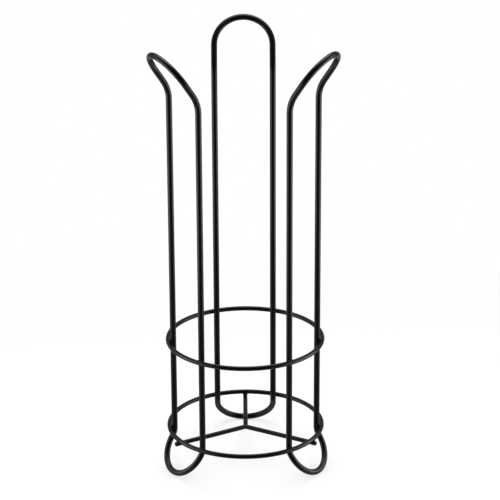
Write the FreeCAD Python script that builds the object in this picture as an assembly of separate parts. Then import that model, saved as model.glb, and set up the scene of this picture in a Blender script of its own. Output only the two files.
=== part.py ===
import FreeCAD, Part
import math
import os

# Free-standing wire rack: three closed wire loops stand round a vertical axis, two hoops hold
# them from outside, and three spokes under the lower hoop carry what is stacked inside.
# The origin is on the floor, on the axis. +Z is up, and the back upright is towards +Y.

# Driving dimensions, in millimetres and degrees

# Wire diameters, measured over the coating
upright_wire = 5.6
hoop_wire = 4.3
spoke_wire = 4.3

# Plan: diameter of a hoop's centreline, and the two legs of an upright, centre to centre
hoop_across = 144.0
leg_spacing = 54.0

# Heights: straight part of a leg above the lower hoop, and hoop to hoop, centre to centre
leg_straight = 323.0
hoop_gap = 88.0

# Foot: each leg bends outward at the lower hoop, and a half circle joins the two legs
foot_angle = 34.0
foot_bend_radius = 13.5

# Flare: each leg bends outward at the top and runs on, and an arch joins the two legs
flare_angle = 34.0
flare_bend_radius = 31.0
flare_run = 12.0

# Spokes: reach past the outside of the hoop, and rounding of the cut end
spoke_overhang = 1.5
spoke_end_round = 0.5

# Welds: depth that a hoop is pressed into a leg and a spoke into its hoop, and radius of the beads
leg_sink = 0.3
spoke_sink = 0.6
hoop_bead = 2.5
spoke_bead = 2.4
hub_bead = 4.2
hub_bead_height_share = 0.7

# Places round the axis
places = ("back", "left", "right")
first_azimuth = 90.0
full_turn = 360.0

# Length by which a cutting shape runs past what it cuts
overrun = 5.0

# Worked out from the driving dimensions

upright_radius = upright_wire / 2
hoop_wire_radius = hoop_wire / 2
spoke_radius = spoke_wire / 2
hoop_radius = hoop_across / 2
half_spacing = leg_spacing / 2

leg_circle = hoop_radius - hoop_wire_radius - upright_radius + leg_sink
leg_reach = math.sqrt(leg_circle ** 2 - half_spacing ** 2)

foot_turn = math.radians(foot_angle)
foot_drop = foot_bend_radius * math.sin(foot_turn) + half_spacing * math.cos(foot_turn)
lower_hoop_height = upright_radius + foot_drop
upper_hoop_height = lower_hoop_height + hoop_gap
spoke_height = lower_hoop_height - hoop_wire_radius - spoke_radius + spoke_sink
spoke_length = hoop_radius + hoop_wire_radius + spoke_overhang

place_step = full_turn / len(places)

# Directions in the frame of one upright or spoke, which is built along +X and then turned

ORIGIN = FreeCAD.Vector(0, 0, 0)
OUT = FreeCAD.Vector(1, 0, 0)
SIDE = FreeCAD.Vector(0, 1, 0)
UP = FreeCAD.Vector(0, 0, 1)


def leaning(along, angle):
    """Direction that leans outward from a vertical one by an angle."""
    turn = math.radians(angle)
    return along * math.cos(turn) + OUT * math.sin(turn)


def bend_point(start, along, radius, angle):
    """Point on a bend that leaves start along a vertical direction and turns outward."""
    turn = math.radians(angle)
    return start + OUT * (radius * (1 - math.cos(turn))) + along * (radius * math.sin(turn))


def bend(start, along, radius, angle):
    """Edge of the whole bend."""
    middle = bend_point(start, along, radius, angle / 2)
    end = bend_point(start, along, radius, angle)
    return Part.Arc(start, middle, end).toShape()


def quarter_arch(leg_end, lean):
    """Edge from a leg's end to the middle of the half circle that joins the two legs."""
    centre = leg_end - SIDE * half_spacing
    diagonal = SIDE + lean
    middle = centre + diagonal * (half_spacing / diagonal.Length)
    return Part.Arc(leg_end, middle, centre + lean * half_spacing).toShape()


def half_loop_path():
    """Centreline of half an upright, from the middle of its foot to the middle of its arch."""
    leg_low = FreeCAD.Vector(leg_reach, half_spacing, lower_hoop_height)
    leg_high = leg_low + UP * leg_straight
    foot_end = bend_point(leg_low, -UP, foot_bend_radius, foot_angle)
    flare_low = bend_point(leg_high, UP, flare_bend_radius, flare_angle)
    flare_lean = leaning(UP, flare_angle)
    flare_high = flare_low + flare_lean * flare_run
    edges = [
        quarter_arch(foot_end, leaning(-UP, foot_angle)),
        bend(leg_low, -UP, foot_bend_radius, foot_angle),
        Part.LineSegment(leg_low, leg_high).toShape(),
        bend(leg_high, UP, flare_bend_radius, flare_angle),
        Part.LineSegment(flare_low, flare_high).toShape(),
        quarter_arch(flare_high, flare_lean),
    ]
    return Part.Wire(Part.__sortEdges__(edges))


def upright():
    """One closed wire loop: two legs, joined by the foot below and the arch above."""
    path = half_loop_path()
    path_start = path.OrderedVertexes[0].Point
    section = Part.Face(Part.Wire(Part.Circle(path_start, SIDE, upright_radius).toShape()))
    half = path.makePipe(section)
    loop = half.fuse(half.mirror(ORIGIN, SIDE)).removeSplitter()
    wire_volume = 2 * path.Length * math.pi * upright_radius ** 2
    print("upright: volume", loop.Volume, "section times length", wire_volume)
    return loop


def hoop_blank(height):
    """Closed ring of round wire, before it is pressed against the legs."""
    ring = Part.makeTorus(hoop_radius, hoop_wire_radius)
    ring.translate(UP * height)
    return ring


def spoke(lower_hoop):
    """Straight wire under the lower hoop, with an inner end cut to meet its neighbours."""
    inner_end = OUT * -overrun + UP * spoke_height
    wire = Part.makeCylinder(spoke_radius, spoke_length + overrun, inner_end, OUT)
    outer_edge = max(wire.Edges, key=lambda edge: edge.CenterOfMass.x)
    wire = wire.makeFillet(spoke_end_round, [outer_edge])
    wedge_reach = spoke_length + overrun
    wedge_half_width = wedge_reach * math.tan(math.radians(place_step / 2))
    corners = [
        ORIGIN,
        OUT * wedge_reach - SIDE * wedge_half_width,
        OUT * wedge_reach + SIDE * wedge_half_width,
        ORIGIN,
    ]
    wedge = Part.Face(Part.makePolygon(corners)).extrude(UP * (spoke_height + spoke_wire))
    return wire.common(wedge).cut(lower_hoop)


def hoop_weld(height, side):
    """Bead of weld metal before it is fitted, where a hoop crosses one leg of an upright."""
    reach_share = (leg_circle + upright_radius - leg_sink / 2) / leg_circle
    leg_centre = OUT * leg_reach + SIDE * (side * half_spacing)
    return Part.makeSphere(hoop_bead, leg_centre * reach_share + UP * height)


def spoke_weld():
    """Bead before it is fitted, where a spoke passes under the lower hoop."""
    height = spoke_height + spoke_radius - spoke_sink / 2
    return Part.makeSphere(spoke_bead, OUT * hoop_radius + UP * height)


def hub_weld():
    """Disc of weld metal before it is fitted into the corners between the spokes."""
    height = spoke_wire * hub_bead_height_share
    return Part.makeCylinder(hub_bead, height, UP * (spoke_height - height / 2))


def at_place(shape, index):
    """Copy of a shape built along +X, turned to one of the places round the axis."""
    turned = shape.copy()
    turned.rotate(ORIGIN, UP, first_azimuth + index * place_step)
    return turned


def fitted(beads, wires):
    """Group of beads cut back to the wires that they join."""
    solids = []
    for bead in beads:
        solids.extend(bead.cut(wires).Solids)
    return Part.makeCompound(solids)


def round_the_axis(shapes):
    """Copies of the shapes at every place."""
    return [at_place(shape, index) for index in range(len(places)) for shape in shapes]


def build():
    """All the nodes, by name."""
    nodes = {}
    uprights = round_the_axis([upright()])
    lower_blank = hoop_blank(lower_hoop_height)
    spokes = round_the_axis([spoke(lower_blank)])
    for index, place in enumerate(places):
        nodes["upright_" + place] = uprights[index]
        nodes["spoke_" + place] = spokes[index]

    nodes["lower_hoop"] = lower_blank.cut(uprights)
    nodes["upper_hoop"] = hoop_blank(upper_hoop_height).cut(uprights)

    for name, height in (("lower_hoop", lower_hoop_height), ("upper_hoop", upper_hoop_height)):
        beads = round_the_axis([hoop_weld(height, -1), hoop_weld(height, 1)])
        nodes[name + "_welds"] = fitted(beads, uprights + [nodes[name]])

    nodes["spoke_welds"] = fitted(round_the_axis([spoke_weld()]), spokes + [nodes["lower_hoop"]])
    nodes["hub_weld"] = fitted([hub_weld()], spokes)
    return nodes


os.makedirs("parts", exist_ok=True)
for node_name, node_shape in build().items():
    node_shape.exportStep("parts/" + node_name + ".step")
    solid_count = len(node_shape.Solids)
    print(node_name, "solids", solid_count, "valid", node_shape.isValid(), "volume", node_shape.Volume)
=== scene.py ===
import math

import bmesh
import bpy
from bpy.props import FloatProperty, FloatVectorProperty, PointerProperty
from mathutils import Matrix, Vector


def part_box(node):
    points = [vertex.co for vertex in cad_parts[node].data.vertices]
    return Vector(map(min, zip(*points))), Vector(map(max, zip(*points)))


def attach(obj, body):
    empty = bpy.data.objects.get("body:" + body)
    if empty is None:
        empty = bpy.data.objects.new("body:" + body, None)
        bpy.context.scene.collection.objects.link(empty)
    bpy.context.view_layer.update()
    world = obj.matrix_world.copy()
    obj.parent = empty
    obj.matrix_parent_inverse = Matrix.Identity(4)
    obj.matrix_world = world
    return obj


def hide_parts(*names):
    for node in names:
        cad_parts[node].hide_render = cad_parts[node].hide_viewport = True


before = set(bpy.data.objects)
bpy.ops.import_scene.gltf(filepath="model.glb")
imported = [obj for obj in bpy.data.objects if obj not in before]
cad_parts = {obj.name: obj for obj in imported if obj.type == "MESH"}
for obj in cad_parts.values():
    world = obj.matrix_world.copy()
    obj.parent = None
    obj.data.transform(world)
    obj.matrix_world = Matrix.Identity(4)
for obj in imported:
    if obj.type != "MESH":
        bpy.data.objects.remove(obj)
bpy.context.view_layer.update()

bl_info = {
    "name": "Wire Roll Holder",
    "version": (1, 0, 0),
    "blender": (4, 5, 0),
    "location": "3D View > Sidebar > Roll Holder",
    "description": "Builds a free-standing rack of bent and welded wire with a black coat",
    "category": "Object",
}

# The rack in the frame: one body, one finish, three like places round a vertical axis
BODY = "root"
PLACES = ("back", "left", "right")
FULL_TURN = math.radians(360)
QUARTER_TURN = math.radians(90)
FIRST_AZIMUTH = QUARTER_TURN
PLACE_STEP = FULL_TURN / len(PLACES)

# Directions at one place, which is built along +X and then turned to its azimuth
OUT = Vector((1, 0, 0))
SIDE = Vector((0, 1, 0))
UP = Vector((0, 0, 1))
ORIGIN = Vector((0, 0, 0))

# Fineness of the meshes, in metres, radians and counts
WIRE_SIDES = 40
BEND_STEP = math.radians(2.5)
HOOP_STEPS = 216
END_ROUND_STEPS = 5
SEAM = 1e-6
SHARP_ANGLE = math.radians(35)
WELD_VOXEL = 0.0002
WELD_SMOOTHING = 28
WELD_SMOOTH_FACTOR = 0.5
BEAD_SIDES = 32
FLOOR_SIDES = 96
NODE_TOLERANCE = 0.00025


def node_size(node):
    """Sides of a node's box."""
    low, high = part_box(node)
    return high - low


def node_centre(node):
    """Middle of a node's box."""
    low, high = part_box(node)
    return (low + high) / 2


def length(name, description, default):
    """Property for a length."""
    return FloatProperty(name=name, description=description, default=default, min=0.0,
                         precision=4, subtype="DISTANCE", unit="LENGTH")


def angle(name, description, default):
    """Property for an angle, with its default in degrees."""
    return FloatProperty(name=name, description=description, default=math.radians(default),
                         subtype="ANGLE", unit="ROTATION")


def share(name, description, default):
    """Property for a share of one."""
    return FloatProperty(name=name, description=description, default=default, min=0.0, max=1.0,
                         precision=3, subtype="FACTOR")


def colour(name, description, default):
    """Property for a colour."""
    return FloatVectorProperty(name=name, description=description, default=default, size=3,
                               min=0.0, max=1.0, subtype="COLOR")


# Sizes that several defaults follow
UPRIGHT_WIRE = 0.0056
HOOP_WIRE = node_size("upper_hoop").z
LOWER_HOOP_HEIGHT = node_centre("lower_hoop").z


class HolderSizes(bpy.types.PropertyGroup):
    """Sizes of the wires and their bends"""

    upright_wire: length("Upright wire", "Diameter of an upright's wire over the coat", UPRIGHT_WIRE)
    hoop_wire: length("Hoop wire", "Diameter of a hoop's wire over the coat", HOOP_WIRE)
    spoke_wire: length("Spoke wire", "Diameter of a spoke's wire over the coat",
                       node_size("spoke_back").x)
    hoop_across: length("Hoop across", "Diameter of a hoop at the middle of its wire",
                        node_size("upper_hoop").x - HOOP_WIRE)
    hoop_gap: length("Hoop gap", "Height from the lower hoop to the upper one",
                     node_centre("upper_hoop").z - LOWER_HOOP_HEIGHT)
    leg_spacing: length("Leg spacing", "Distance between the two legs of an upright",
                        node_size("upright_back").x - UPRIGHT_WIRE)
    leg_straight: length("Leg straight", "Straight part of a leg, from the lower hoop up", 0.323)
    foot_angle: angle("Foot angle", "Outward lean of a foot", 34.0)
    foot_bend: length("Foot bend", "Radius of the bend from a leg into its foot", 0.0135)
    flare_angle: angle("Flare angle", "Outward lean of the top", 34.0)
    flare_bend: length("Flare bend", "Radius of the bend from a leg into its flare", 0.031)
    flare_run: length("Flare run", "Straight wire between the flare's bend and the arch", 0.012)
    spoke_overhang: length("Spoke overhang", "Reach of a spoke past the lower hoop", 0.0015)
    spoke_end_round: length("Spoke end round", "Rounding of a spoke's cut end", 0.0005)
    leg_sink: length("Leg sink", "Depth that a hoop is pressed into a leg", 0.0003)
    spoke_sink: length("Spoke sink", "Depth that a spoke is pressed into the hoop", 0.0006)
    hoop_bead: length("Hoop bead", "Radius of the weld metal at a hoop and a leg", 0.0025)
    spoke_bead: length("Spoke bead", "Radius of the weld metal at a hoop and a spoke", 0.0024)
    hub_bead: length("Hub bead", "Radius of the weld metal where the spokes meet", 0.0042)


class HolderCoat(bpy.types.PropertyGroup):
    """Look of the black coat"""

    dark: colour("Dark", "Colour of the coat", (0.0008, 0.0008, 0.0009))
    pale: colour("Pale", "Colour of the coat where it lies a little thinner", (0.0016, 0.0016, 0.0017))
    roughness: share("Roughness", "Roughness of the coat", 0.25)
    roughness_spread: share("Roughness spread", "How far the roughness wanders", 0.12)
    face_gloss: share("Face gloss", "Strength of the reflection where the coat is seen square on", 0.02)
    edge_gloss: share("Edge gloss", "Strength of the reflection in the soft bands beside the edges", 0.24)
    band_start: share("Band start", "Slant at which the edge gloss starts to show", 0.05)
    band_peak: share("Band peak", "Slant at which the edge gloss is strongest", 0.36)
    band_end: share("Band end", "Slant at which the edge gloss has faded again", 0.60)
    peel: share("Peel", "Strength of the fine ripple that a baked coat keeps", 0.04)
    lumps: share("Lumps", "Strength of the lumps in the coat over a weld", 0.35)


class HolderStage(bpy.types.PropertyGroup):
    """Floor, light and camera"""

    floor_radius: length("Floor radius", "Radius of the floor", 7.0)
    floor_colour: colour("Floor colour", "Colour of the floor", (0.9, 0.9, 0.9))
    floor_glow: share("Floor glow", "Share of plain white in the floor under the rack", 0.66)
    shadow_start: length("Shadow start", "Distance from the axis where shadows start to fade", 0.15)
    shadow_end: length("Shadow end", "Distance from the axis where shadows have gone", 0.6)
    world_light: share("World light", "Light of the surroundings on the object", 0.2)
    lens: FloatProperty(name="Lens", description="Focal length in millimetres", default=158.3,
                        min=1.0, unit="CAMERA")
    camera_distance: length("Camera distance", "Distance from the axis, along the floor", 1.8909)
    camera_height: length("Camera height", "Height above the floor", 0.9258)
    camera_azimuth: angle("Camera azimuth", "Turn of the camera's place round the axis", 0.135)
    camera_yaw: angle("Camera yaw", "Turn of the view away from the axis", 0.150)
    camera_pitch: angle("Camera pitch", "Downward tilt of the view", 20.782)
    camera_roll: angle("Camera roll", "Turn of the picture", -0.268)


class Layout:
    """Places and heights that follow from the sizes."""

    def __init__(self, sizes):
        self.hoop_radius = sizes.hoop_across / 2
        self.half_spacing = sizes.leg_spacing / 2
        self.leg_circle = (self.hoop_radius - sizes.hoop_wire / 2 - sizes.upright_wire / 2
                           + sizes.leg_sink)
        self.leg_reach = math.sqrt(self.leg_circle ** 2 - self.half_spacing ** 2)
        self.leg_azimuth = math.atan2(self.half_spacing, self.leg_reach)
        foot_drop = (sizes.foot_bend * math.sin(sizes.foot_angle)
                     + self.half_spacing * math.cos(sizes.foot_angle))
        self.foot_reach = (self.leg_reach + sizes.foot_bend * (1 - math.cos(sizes.foot_angle))
                           + self.half_spacing * math.sin(sizes.foot_angle))
        self.lower_hoop = sizes.upright_wire / 2 + foot_drop
        self.upper_hoop = self.lower_hoop + sizes.hoop_gap
        self.spoke = (self.lower_hoop - sizes.hoop_wire / 2 - sizes.spoke_wire / 2
                      + sizes.spoke_sink)
        self.spoke_length = self.hoop_radius + sizes.hoop_wire / 2 + sizes.spoke_overhang


def edges_in(items):
    """Edges among the items that an operator gives back."""
    return [item for item in items if isinstance(item, bmesh.types.BMEdge)]


def verts_in(items):
    """Vertices among the items that an operator gives back."""
    return [item for item in items if isinstance(item, bmesh.types.BMVert)]


def everything(mesh):
    """All the geometry of a mesh, as an operator takes it."""
    return mesh.verts[:] + mesh.edges[:] + mesh.faces[:]


class BentWire:
    """Round wire that is fed and bent from one end to the other."""

    def __init__(self, mesh, wire, start, along):
        self.mesh = mesh
        self.point = Vector(start)
        self.along = Vector(along)
        turn = self.along.to_track_quat("Z", "Y").to_matrix().to_4x4()
        place = Matrix.Translation(self.point) @ turn
        ring = bmesh.ops.create_circle(mesh, segments=WIRE_SIDES, radius=wire / 2, matrix=place)
        self.start = list({edge for vert in ring["verts"] for edge in vert.link_edges})
        self.end = self.start

    def feed(self, distance):
        """Straight run."""
        made = bmesh.ops.extrude_edge_only(self.mesh, edges=self.end)["geom"]
        moved = set(verts_in(made))
        step = self.along * distance
        bmesh.ops.translate(self.mesh, verts=list(moved), vec=step)
        self.point = self.point + step
        self.end = [edge for edge in edges_in(made) if set(edge.verts) <= moved]

    def bend(self, radius, turn, towards):
        """Bend of a radius, by an angle, towards a direction."""
        square = (towards - self.along * towards.dot(self.along)).normalized()
        centre = self.point + square * radius
        axis = self.along.cross(square)
        swept = bmesh.ops.spin(self.mesh, geom=self.end, cent=centre, axis=axis, angle=turn,
                               steps=math.ceil(turn / BEND_STEP))
        self.end = edges_in(swept["geom_last"])
        rotation = Matrix.Rotation(turn, 3, axis)
        self.point = centre + rotation @ (self.point - centre)
        self.along = rotation @ self.along

    def cap(self):
        """Flat face on each cut end."""
        for ring in (self.start, self.end):
            bmesh.ops.edgeloop_fill(self.mesh, edges=ring)


def coated_piece(name, node, mesh, material):
    """Finished object for a mesh, which stands for a node of the frame."""
    bmesh.ops.remove_doubles(mesh, verts=mesh.verts, dist=SEAM)
    bmesh.ops.recalc_face_normals(mesh, faces=mesh.faces)
    for face in mesh.faces:
        face.smooth = True
    data = bpy.data.meshes.new(name)
    mesh.to_mesh(data)
    mesh.free()
    data.set_sharp_from_angle(angle=SHARP_ANGLE)
    data.materials.append(material)
    piece = bpy.data.objects.new(name, data)
    bpy.context.scene.collection.objects.link(piece)
    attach(piece, BODY)
    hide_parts(node)
    return piece


def check_fit(piece, node):
    """Stops the script where a wire has left the box of its node."""
    low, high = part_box(node)
    for axis in range(3):
        values = [vertex.co[axis] for vertex in piece.data.vertices]
        off = max(abs(min(values) - low[axis]), abs(max(values) - high[axis]))
        if off > NODE_TOLERANCE:
            raise RuntimeError(f"{piece.name} is {off * 1000:.2f} mm off its node {node}")


def turned(mesh, azimuth):
    """Turns a whole mesh round the vertical axis."""
    bmesh.ops.rotate(mesh, verts=mesh.verts, cent=ORIGIN, matrix=Matrix.Rotation(azimuth, 3, "Z"))


def azimuth_of(index):
    """Azimuth of one of the places."""
    return FIRST_AZIMUTH + index * PLACE_STEP


def upright_mesh(sizes, layout):
    """Closed loop of wire: half of it is bent from foot to arch, and mirrored."""
    mesh = bmesh.new()
    foot = OUT * layout.foot_reach + UP * (sizes.upright_wire / 2)
    wire = BentWire(mesh, sizes.upright_wire, foot, SIDE)
    inward = UP * math.cos(sizes.foot_angle) - OUT * math.sin(sizes.foot_angle)
    wire.bend(layout.half_spacing, QUARTER_TURN, inward)
    wire.bend(sizes.foot_bend, sizes.foot_angle, OUT)
    wire.feed(sizes.leg_straight)
    wire.bend(sizes.flare_bend, sizes.flare_angle, OUT)
    wire.feed(sizes.flare_run)
    wire.bend(layout.half_spacing, QUARTER_TURN, -SIDE)
    bmesh.ops.mirror(mesh, geom=everything(mesh), merge_dist=SEAM, axis="Y")
    return mesh


def hoop_mesh(sizes, layout, height):
    """Ring of wire, from a circle that is spun round the axis."""
    mesh = bmesh.new()
    wire = BentWire(mesh, sizes.hoop_wire, OUT * layout.hoop_radius + UP * height, SIDE)
    bmesh.ops.spin(mesh, geom=wire.start, cent=UP * height, axis=UP, angle=FULL_TURN,
                   steps=HOOP_STEPS, use_merge=True)
    return mesh


def spoke_mesh(sizes, layout):
    """Straight wire with a rounded outer end, cut to a point where it meets its neighbours."""
    mesh = bmesh.new()
    wire = BentWire(mesh, sizes.spoke_wire, OUT * -sizes.spoke_wire + UP * layout.spoke, OUT)
    wire.feed(sizes.spoke_wire + layout.spoke_length)
    wire.cap()
    bmesh.ops.bevel(mesh, geom=wire.end, offset=sizes.spoke_end_round, affect="EDGES",
                    segments=END_ROUND_STEPS, profile=0.5, material=-1)
    for side in (-1, 1):
        half_step = side * PLACE_STEP / 2
        neighbour = SIDE * (side * math.cos(half_step)) - OUT * (side * math.sin(half_step))
        cut = bmesh.ops.bisect_plane(mesh, geom=everything(mesh), plane_co=ORIGIN,
                                     plane_no=neighbour, clear_outer=True)
        bmesh.ops.edgeloop_fill(mesh, edges=edges_in(cut["geom_cut"]))
    return mesh


def blended(mesh):
    """One smooth skin over overlapping lumps, with the creases filled as weld metal fills them."""
    rough = bpy.data.objects.new("rough_weld", bpy.data.meshes.new("rough_weld"))
    bmesh.ops.recalc_face_normals(mesh, faces=mesh.faces)
    mesh.to_mesh(rough.data)
    mesh.free()
    bpy.context.scene.collection.objects.link(rough)
    remesh = rough.modifiers.new("skin", "REMESH")
    remesh.mode = "VOXEL"
    remesh.voxel_size = WELD_VOXEL
    skin = bmesh.new()
    skin.from_object(rough, bpy.context.evaluated_depsgraph_get())
    rough_data = rough.data
    bpy.data.objects.remove(rough)
    bpy.data.meshes.remove(rough_data)
    for _ in range(WELD_SMOOTHING):
        bmesh.ops.smooth_vert(skin, verts=skin.verts, factor=WELD_SMOOTH_FACTOR,
                              use_axis_x=True, use_axis_y=True, use_axis_z=True)
    return skin


def bead(mesh, centre, radius):
    """Round drop of weld metal."""
    bmesh.ops.create_uvsphere(mesh, u_segments=BEAD_SIDES, v_segments=BEAD_SIDES // 2,
                              radius=radius, matrix=Matrix.Translation(centre))


def hoop_stub(mesh, sizes, layout, height, azimuth, reach):
    """Short piece of a hoop on both sides of an azimuth."""
    spread = reach / layout.hoop_radius
    start = Matrix.Rotation(azimuth - spread, 3, "Z")
    stub = BentWire(mesh, sizes.hoop_wire, start @ (OUT * layout.hoop_radius) + UP * height,
                    start @ SIDE)
    stub.bend(layout.hoop_radius, 2 * spread, start @ -OUT)
    stub.cap()


def round_the_axis(template):
    """Copies of a mesh at every place, joined in one mesh."""
    data = bpy.data.meshes.new("template")
    template.to_mesh(data)
    template.free()
    joined = bmesh.new()
    for index in range(len(PLACES)):
        before = len(joined.verts)
        joined.from_mesh(data)
        joined.verts.ensure_lookup_table()
        bmesh.ops.rotate(joined, verts=joined.verts[before:], cent=ORIGIN,
                         matrix=Matrix.Rotation(azimuth_of(index), 3, "Z"))
    bpy.data.meshes.remove(data)
    return joined


def join(meshes):
    """One mesh from several."""
    joined = bmesh.new()
    for mesh in meshes:
        data = bpy.data.meshes.new("part")
        mesh.to_mesh(data)
        mesh.free()
        joined.from_mesh(data)
        bpy.data.meshes.remove(data)
    return joined


def hoop_weld(sizes, layout, height, side, foot_bend):
    """Weld between a hoop and one leg of an upright, whose foot may bend away below it."""
    mesh = bmesh.new()
    azimuth = side * layout.leg_azimuth
    reach = sizes.upright_wire
    hoop_stub(mesh, sizes, layout, height, azimuth, reach)
    leg = OUT * layout.leg_reach + SIDE * (side * layout.half_spacing)
    stub = BentWire(mesh, sizes.upright_wire, leg + UP * (height + reach), -UP)
    stub.feed(reach)
    if foot_bend:
        stub.bend(sizes.foot_bend, reach / sizes.foot_bend, OUT)
    else:
        stub.feed(reach)
    stub.cap()
    contact = 1 + (sizes.upright_wire / 2 - sizes.leg_sink / 2) / layout.leg_circle
    bead(mesh, leg * contact + UP * height, sizes.hoop_bead)
    return blended(mesh)


def spoke_weld(sizes, layout):
    """Weld between the lower hoop and the spoke under it."""
    mesh = bmesh.new()
    reach = sizes.hoop_wire
    hoop_stub(mesh, sizes, layout, layout.lower_hoop, 0.0, reach)
    inner = OUT * (layout.hoop_radius - reach) + UP * layout.spoke
    stub = BentWire(mesh, sizes.spoke_wire, inner, OUT)
    stub.feed(layout.spoke_length - sizes.spoke_end_round - inner.x)
    stub.cap()
    height = layout.spoke + sizes.spoke_wire / 2 - sizes.spoke_sink / 2
    bead(mesh, OUT * layout.hoop_radius + UP * height, sizes.spoke_bead)
    return blended(mesh)


def hub_weld(sizes, layout):
    """Weld where the three spokes meet."""
    mesh = bmesh.new()
    for index in range(len(PLACES)):
        direction = Matrix.Rotation(azimuth_of(index), 3, "Z") @ OUT
        stub = BentWire(mesh, sizes.spoke_wire, UP * layout.spoke, direction)
        stub.feed(sizes.hub_bead + sizes.spoke_wire)
        stub.cap()
    bead(mesh, UP * layout.spoke, sizes.spoke_wire / 2)
    return blended(mesh)


class Signal:
    """Output of a shader node that works in Python expressions."""

    def __init__(self, graph, socket):
        self.graph = graph
        self.socket = socket

    def __add__(self, other):
        return self.graph.math("ADD", self, other)

    def __sub__(self, other):
        return self.graph.math("SUBTRACT", self, other)

    def __rsub__(self, other):
        return self.graph.math("SUBTRACT", other, self)

    def __mul__(self, other):
        return self.graph.math("MULTIPLY", self, other)

    __radd__ = __add__
    __rmul__ = __mul__


class Graph:
    """Node tree of a material or a world."""

    def __init__(self, tree):
        self.tree = tree
        tree.nodes.clear()

    def node(self, kind, settings=(), sockets=()):
        """New node: its settings are set first, then its sockets get values or links."""
        made = self.tree.nodes.new(kind)
        for name, value in dict(settings).items():
            setattr(made, name, value)
        for name, value in dict(sockets).items():
            if isinstance(value, Signal):
                self.tree.links.new(value.socket, made.inputs[name])
            else:
                made.inputs[name].default_value = value
        return made

    def signal(self, output, kind, settings=(), sockets=()):
        """One output of a new node."""
        return Signal(self, self.node(kind, settings, sockets).outputs[output])

    def math(self, operation, first, second):
        """Math node on two values."""
        return self.signal(0, "ShaderNodeMath", {"operation": operation}, {0: first, 1: second})

    def ramp(self, value, start, end):
        """Straight ramp from 0 at the start to 1 at the end, and flat outside."""
        return self.signal("Result", "ShaderNodeMapRange", (), {
            "Value": value, "From Min": start, "From Max": end})

    def noise(self, coords, scale, detail):
        """Noise over the surface, from 0 to 1."""
        return self.signal("Fac", "ShaderNodeTexNoise", {"noise_dimensions": "3D"},
                           {"Vector": coords, "Scale": scale, "Detail": detail})

    def colour_mix(self, factor, first, second):
        """Mix of two colours. Its sockets share names with those for numbers, so they go by place."""
        mix = self.node("ShaderNodeMix", {"data_type": "RGBA"}, {0: factor, 6: first, 7: second})
        return Signal(self, mix.outputs[2])


WHITE = (1.0, 1.0, 1.0)


def opaque(value):
    """Colour with full alpha."""
    return (*value, 1.0)


# Pattern of the coat: scales in waves per metre, levels of detail, and depth in metres
PEEL_SCALE = 520.0
GRAIN_SCALE = 3600.0
CLOUD_SCALE = 45.0
LUMP_SCALE = 900.0
SOFT_DETAIL = 2.0
GRAIN_DETAIL = 1.0
COAT_DEPTH = 0.0003
PEEL_SHARE = 0.75
NOISE_MIDDLE = 0.5


def coat_material(name, look, lumpy):
    """Black baked coat: a fine ripple, a finer grain, and soft bands of gloss beside the edges."""
    material = bpy.data.materials.get(name)
    if material:
        return material
    material = bpy.data.materials.new(name)
    material.use_nodes = True
    graph = Graph(material.node_tree)
    coords = graph.signal("Object", "ShaderNodeTexCoord")
    cloud = graph.noise(coords, CLOUD_SCALE, SOFT_DETAIL)
    grain = graph.noise(coords, GRAIN_SCALE, GRAIN_DETAIL)
    ripple = graph.noise(coords, LUMP_SCALE if lumpy else PEEL_SCALE, SOFT_DETAIL)
    height = ripple * PEEL_SHARE + grain * (1 - PEEL_SHARE)
    bump = graph.signal("Normal", "ShaderNodeBump", (), {
        "Strength": look.lumps if lumpy else look.peel, "Distance": COAT_DEPTH, "Height": height})
    tint = graph.colour_mix(cloud, opaque(look.dark), opaque(look.pale))
    wander = cloud + grain - 2 * NOISE_MIDDLE
    roughness = wander * look.roughness_spread + look.roughness
    slant = graph.signal("Facing", "ShaderNodeLayerWeight")
    rise = graph.ramp(slant, look.band_start, look.band_peak)
    fall = graph.ramp(slant, look.band_end, look.band_peak)
    skin = {"Base Color": tint, "Roughness": roughness, "Normal": bump}
    band, face = [graph.signal("BSDF", "ShaderNodeBsdfPrincipled", (),
                               {**skin, "Specular IOR Level": gloss})
                  for gloss in (look.edge_gloss, look.face_gloss)]
    coat = graph.signal("Shader", "ShaderNodeMixShader", (), {0: 1 - rise * fall, 1: band, 2: face})
    graph.node("ShaderNodeOutputMaterial", (), {"Surface": coat})
    return material


def seen_directly(graph):
    """1 for what the camera sees, also in a reflection or through glass, and 0 for plain light."""
    path = graph.node("ShaderNodeLightPath")
    kinds = [Signal(graph, path.outputs[name]) for name in
             ("Is Camera Ray", "Is Glossy Ray", "Is Transmission Ray")]
    return kinds[0] + kinds[1] + kinds[2]


def floor_material(look):
    """Pale floor that is seen as plain white and keeps the object's shadow."""
    material = bpy.data.materials.new("pale_floor")
    material.use_nodes = True
    graph = Graph(material.node_tree)
    paint = graph.signal("BSDF", "ShaderNodeBsdfDiffuse", (), {"Color": opaque(look.floor_colour)})
    glow = graph.signal("Emission", "ShaderNodeEmission")
    coords = graph.signal("Object", "ShaderNodeTexCoord")
    distance = graph.signal("Value", "ShaderNodeVectorMath", {"operation": "LENGTH"}, {0: coords})
    white = graph.signal("Result", "ShaderNodeMapRange", {"interpolation_type": "SMOOTHSTEP"}, {
        "Value": distance, "From Min": look.shadow_start, "From Max": look.shadow_end,
        "To Min": look.floor_glow, "To Max": 1.0})
    floor = graph.signal("Shader", "ShaderNodeMixShader", (), {
        0: seen_directly(graph) * white, 1: paint, 2: glow})
    graph.node("ShaderNodeOutputMaterial", (), {"Surface": floor})
    return material


def light_world(look):
    """White surroundings that light the object at a plain level."""
    world = bpy.data.worlds.new("white_room")
    world.use_nodes = True
    graph = Graph(world.node_tree)
    strength = seen_directly(graph) * (1 - look.world_light) + look.world_light
    room = graph.signal("Background", "ShaderNodeBackground", (), {
        "Color": opaque(WHITE), "Strength": strength})
    graph.node("ShaderNodeOutputWorld", (), {"Surface": room})
    bpy.context.scene.world = world


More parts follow.
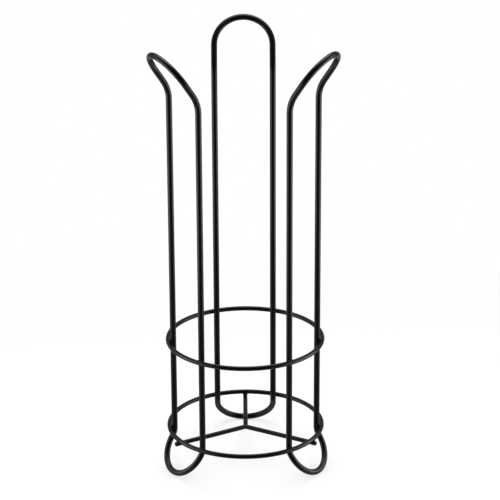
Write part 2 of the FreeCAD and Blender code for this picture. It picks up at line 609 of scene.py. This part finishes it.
# Soft lamps: name, place, aim, width and height in metres, power in watts
LAMPS = (
    ("left_lamp", (-0.50, -0.20, 0.20), (0.0, 0.0, 0.20), 0.62, 0.40, 3.8),
    ("right_lamp", (0.52, -0.10, 0.20), (0.0, 0.0, 0.20), 0.62, 0.40, 3.5),
    ("top_lamp", (0.0, 0.20, 0.95), (0.0, 0.10, 0.30), 0.60, 0.80, 6.5),
)


def aimed(start, target):
    """Turn that points a lamp from its place at its aim."""
    return (Vector(target) - Vector(start)).to_track_quat("-Z", "Y").to_euler()


def place_lamp(name, start, target, width, height, power):
    """One soft lamp."""
    data = bpy.data.lights.new(name, "AREA")
    data.shape = "RECTANGLE"
    data.size = width
    data.size_y = height
    data.energy = power
    lamp = bpy.data.objects.new(name, data)
    lamp.location = start
    lamp.rotation_euler = aimed(start, target)
    bpy.context.scene.collection.objects.link(lamp)


# Camera: width of the sensor in millimetres, and nearest and farthest distance in metres
SENSOR_WIDTH = 36.0
CAMERA_START = 0.1
CAMERA_END = 50.0


def place_camera(look):
    """Camera in front of the rack and above it."""
    data = bpy.data.cameras.new("camera")
    data.sensor_width = SENSOR_WIDTH
    data.lens = look.lens
    data.clip_start = CAMERA_START
    data.clip_end = CAMERA_END
    camera = bpy.data.objects.new("camera", data)
    across = look.camera_distance
    place = Vector((-across * math.sin(look.camera_azimuth), -across * math.cos(look.camera_azimuth),
                    look.camera_height))
    turn = (Matrix.Rotation(-look.camera_yaw - look.camera_azimuth, 4, "Z")
            @ Matrix.Rotation(QUARTER_TURN - look.camera_pitch, 4, "X")
            @ Matrix.Rotation(look.camera_roll, 4, "Z"))
    camera.matrix_world = Matrix.Translation(place) @ turn
    bpy.context.scene.collection.objects.link(camera)
    bpy.context.scene.camera = camera


class HOLDER_OT_uprights(bpy.types.Operator):
    """Bend the three upright loops"""

    bl_idname = "holder.uprights"
    bl_label = "Uprights"

    def execute(self, context):
        sizes = context.scene.holder_sizes
        layout = Layout(sizes)
        coat = coat_material("baked_coat", context.scene.holder_coat, False)
        for index, place in enumerate(PLACES):
            mesh = upright_mesh(sizes, layout)
            turned(mesh, azimuth_of(index))
            piece = coated_piece("wire_upright_" + place, "upright_" + place, mesh, coat)
            check_fit(piece, "upright_" + place)
        return {"FINISHED"}


class HOLDER_OT_hoops(bpy.types.Operator):
    """Roll the two hoops"""

    bl_idname = "holder.hoops"
    bl_label = "Hoops"

    def execute(self, context):
        sizes = context.scene.holder_sizes
        layout = Layout(sizes)
        coat = coat_material("baked_coat", context.scene.holder_coat, False)
        for node, height in (("lower_hoop", layout.lower_hoop), ("upper_hoop", layout.upper_hoop)):
            piece = coated_piece("wire_" + node, node, hoop_mesh(sizes, layout, height), coat)
            check_fit(piece, node)
        return {"FINISHED"}


class HOLDER_OT_spokes(bpy.types.Operator):
    """Cut the three spokes of the base"""

    bl_idname = "holder.spokes"
    bl_label = "Spokes"

    def execute(self, context):
        sizes = context.scene.holder_sizes
        layout = Layout(sizes)
        coat = coat_material("baked_coat", context.scene.holder_coat, False)
        for index, place in enumerate(PLACES):
            mesh = spoke_mesh(sizes, layout)
            turned(mesh, azimuth_of(index))
            piece = coated_piece("wire_spoke_" + place, "spoke_" + place, mesh, coat)
            check_fit(piece, "spoke_" + place)
        return {"FINISHED"}


class HOLDER_OT_hoop_welds(bpy.types.Operator):
    """Weld the hoops to the legs"""

    bl_idname = "holder.hoop_welds"
    bl_label = "Hoop welds"

    def execute(self, context):
        sizes = context.scene.holder_sizes
        layout = Layout(sizes)
        coat = coat_material("baked_coat_on_weld", context.scene.holder_coat, True)
        for hoop, height, foot_bend in (("lower_hoop", layout.lower_hoop, True),
                                        ("upper_hoop", layout.upper_hoop, False)):
            pair = join([hoop_weld(sizes, layout, height, side, foot_bend) for side in (-1, 1)])
            coated_piece("fillet_" + hoop + "_welds", hoop + "_welds", round_the_axis(pair), coat)
        return {"FINISHED"}


class HOLDER_OT_base_welds(bpy.types.Operator):
    """Weld the spokes to the lower hoop and to each other"""

    bl_idname = "holder.base_welds"
    bl_label = "Base welds"

    def execute(self, context):
        sizes = context.scene.holder_sizes
        layout = Layout(sizes)
        coat = coat_material("baked_coat_on_weld", context.scene.holder_coat, True)
        spoke_welds = round_the_axis(spoke_weld(sizes, layout))
        coated_piece("fillet_spoke_welds", "spoke_welds", spoke_welds, coat)
        coated_piece("fillet_hub_weld", "hub_weld", hub_weld(sizes, layout), coat)
        return {"FINISHED"}


class HOLDER_OT_stage(bpy.types.Operator):
    """Set up the floor, the light and the camera"""

    bl_idname = "holder.stage"
    bl_label = "Stage"

    def execute(self, context):
        look = context.scene.holder_stage
        mesh = bmesh.new()
        bmesh.ops.create_circle(mesh, cap_ends=True, segments=FLOOR_SIDES,
                                radius=look.floor_radius)
        data = bpy.data.meshes.new("floor")
        mesh.to_mesh(data)
        mesh.free()
        data.materials.append(floor_material(look))
        floor = bpy.data.objects.new("floor", data)
        context.scene.collection.objects.link(floor)
        light_world(look)
        for lamp in LAMPS:
            place_lamp(*lamp)
        place_camera(look)
        context.scene.view_settings.view_transform = "Standard"
        return {"FINISHED"}


class HOLDER_PT_panel(bpy.types.Panel):
    """Sizes, finish and steps of the rack"""

    bl_idname = "HOLDER_PT_panel"
    bl_label = "Wire Roll Holder"
    bl_space_type = "VIEW_3D"
    bl_region_type = "UI"
    bl_category = "Roll Holder"

    def draw(self, context):
        scene = context.scene
        for group in (scene.holder_sizes, scene.holder_coat, scene.holder_stage):
            box = self.layout.box()
            for name in group.__annotations__:
                box.prop(group, name)
        for step in STEPS:
            self.layout.operator(step.bl_idname)


STEPS = (HOLDER_OT_uprights, HOLDER_OT_hoops, HOLDER_OT_spokes, HOLDER_OT_hoop_welds,
         HOLDER_OT_base_welds, HOLDER_OT_stage)
GROUPS = (HolderSizes, HolderCoat, HolderStage)
CLASSES = GROUPS + STEPS + (HOLDER_PT_panel,)


def register():
    """Adds the classes and the properties of the scene."""
    for item in CLASSES:
        bpy.utils.register_class(item)
    bpy.types.Scene.holder_sizes = PointerProperty(type=HolderSizes)
    bpy.types.Scene.holder_coat = PointerProperty(type=HolderCoat)
    bpy.types.Scene.holder_stage = PointerProperty(type=HolderStage)


def unregister():
    """Takes away what register added."""
    del bpy.types.Scene.holder_stage
    del bpy.types.Scene.holder_coat
    del bpy.types.Scene.holder_sizes
    for item in reversed(CLASSES):
        bpy.utils.unregister_class(item)


def main():
    """Builds the rack and its stage."""
    register()
    bpy.ops.holder.uprights()
    bpy.ops.holder.hoops()
    bpy.ops.holder.spokes()
    bpy.ops.holder.hoop_welds()
    bpy.ops.holder.base_welds()
    bpy.ops.holder.stage()


if __name__ == "__main__":
    main()
